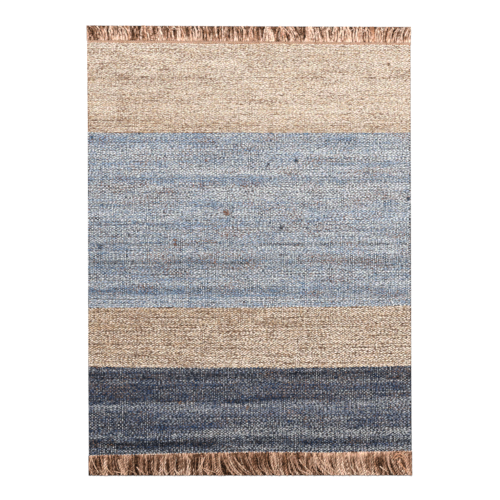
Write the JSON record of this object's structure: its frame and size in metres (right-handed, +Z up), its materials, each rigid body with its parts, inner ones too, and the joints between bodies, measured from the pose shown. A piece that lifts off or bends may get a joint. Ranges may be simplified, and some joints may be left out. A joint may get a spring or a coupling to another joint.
{
  "type": "flatweave rug",
  "caption": "Rectangular woven jute rug with broad natural, pale blue and indigo bands and a cut fringe of warp ends along each short end; lies flat on a floor.",
  "frame": {"origin": "middle of the rug, on the floor it lies on", "axes": "+X across the rug, +Y along it towards the end with the wide natural band, +Z up"},
  "size_m": [1.5314, 2.12, 0.0074],
  "materials": {
    "natural_jute": "matte, coarse",
    "pale_blue_jute": "matte, coarse",
    "indigo_jute": "matte, coarse",
    "fringe_jute": "matte, fibrous"
  },
  "bodies": {
    "root": {"rug_cloth": "natural_jute", "fringe_top": "fringe_jute", "fringe_bottom": "fringe_jute"}
  },
  "joints": []
}
